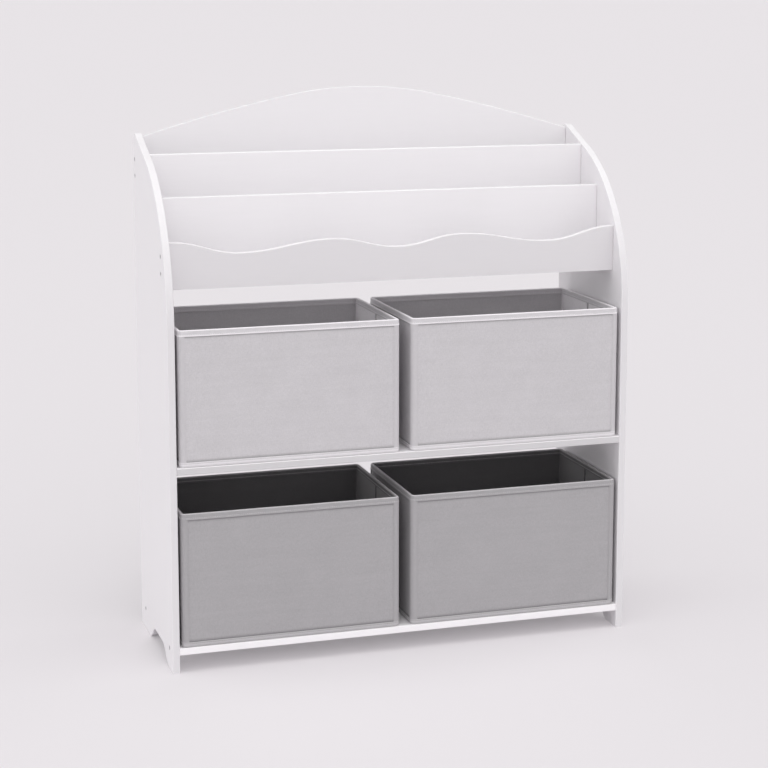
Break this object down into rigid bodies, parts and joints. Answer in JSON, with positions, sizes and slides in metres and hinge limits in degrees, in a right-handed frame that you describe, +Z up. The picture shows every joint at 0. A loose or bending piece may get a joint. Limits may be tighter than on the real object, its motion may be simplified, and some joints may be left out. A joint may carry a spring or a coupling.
{
  "type": "toy storage organizer",
  "caption": "Free-standing toy organizer: rounded side panels carry a stepped book rack with a wavy front over open bays that hold pull-out fabric bins.",
  "frame": {"origin": "on the floor, at the middle of the width and of the depth", "axes": "+X to the right seen from the open front, +Y from the open front to the back, +Z up"},
  "size_m": [0.798, 0.28, 0.9379],
  "materials": {
    "white_paint": "satin white lacquer on fibreboard",
    "screw_steel": "zinc plated",
    "dowel_wood": "raw beech",
    "wall_cardboard": "raw grey board",
    "light_grey_fabric": "light grey non-woven felt",
    "dark_grey_fabric": "mid grey non-woven felt",
    "light_grey_tape": "light grey folded tape, stitched",
    "dark_grey_tape": "mid grey folded tape, stitched"
  },
  "bodies": {
    "cabinet": {"left_side_panel": "white_paint", "right_side_panel": "white_paint", "wave_front_board": "white_paint", "middle_divider": "white_paint", "rear_divider": "white_paint", "front_pocket_floor": "white_paint", "middle_pocket_floor": "white_paint", "rear_pocket_floor": "white_paint", "arched_back_board": "white_paint", "middle_shelf": "white_paint", "bottom_shelf": "white_paint", "side_screws": "screw_steel", "dowels": "dowel_wood"},
    "upper_left_bin": {"upper_left_bin_cover": "light_grey_fabric", "upper_left_bin_lining": "light_grey_fabric", "upper_left_bin_rim_binding": "light_grey_tape", "upper_left_bin_corner_piping": "light_grey_tape", "upper_left_bin_base_hem": "light_grey_tape", "upper_left_bin_front_board": "wall_cardboard", "upper_left_bin_back_board": "wall_cardboard", "upper_left_bin_side_boards": "wall_cardboard", "upper_left_bin_base_insert": "light_grey_fabric"},
    "upper_right_bin": {"upper_right_bin_cover": "light_grey_fabric", "upper_right_bin_lining": "light_grey_fabric", "upper_right_bin_rim_binding": "light_grey_tape", "upper_right_bin_corner_piping": "light_grey_tape", "upper_right_bin_base_hem": "light_grey_tape", "upper_right_bin_front_board": "wall_cardboard", "upper_right_bin_back_board": "wall_cardboard", "upper_right_bin_side_boards": "wall_cardboard", "upper_right_bin_base_insert": "light_grey_fabric"},
    "lower_left_bin": {"lower_left_bin_cover": "dark_grey_fabric", "lower_left_bin_lining": "dark_grey_fabric", "lower_left_bin_rim_binding": "dark_grey_tape", "lower_left_bin_corner_piping": "dark_grey_tape", "lower_left_bin_base_hem": "dark_grey_tape", "lower_left_bin_front_board": "wall_cardboard", "lower_left_bin_back_board": "wall_cardboard", "lower_left_bin_side_boards": "wall_cardboard", "lower_left_bin_base_insert": "dark_grey_fabric"},
    "lower_right_bin": {"lower_right_bin_cover": "dark_grey_fabric", "lower_right_bin_lining": "dark_grey_fabric", "lower_right_bin_rim_binding": "dark_grey_tape", "lower_right_bin_corner_piping": "dark_grey_tape", "lower_right_bin_base_hem": "dark_grey_tape", "lower_right_bin_front_board": "wall_cardboard", "lower_right_bin_back_board": "wall_cardboard", "lower_right_bin_side_boards": "wall_cardboard", "lower_right_bin_base_insert": "dark_grey_fabric"}
  },
  "joints": [
    {"name": "upper_left_bin_slide", "type": "slide", "parent": "cabinet", "child": "upper_left_bin", "axis": [0, -1, 0], "range_m": [-0.035, 0.25]},
    {"name": "upper_right_bin_slide", "type": "slide", "parent": "cabinet", "child": "upper_right_bin", "axis": [0, -1, 0], "range_m": [-0.035, 0.25]},
    {"name": "lower_left_bin_slide", "type": "slide", "parent": "cabinet", "child": "lower_left_bin", "axis": [0, -1, 0], "range_m": [-0.035, 0.25]},
    {"name": "lower_right_bin_slide", "type": "slide", "parent": "cabinet", "child": "lower_right_bin", "axis": [0, -1, 0], "range_m": [-0.035, 0.25]}
  ]
}
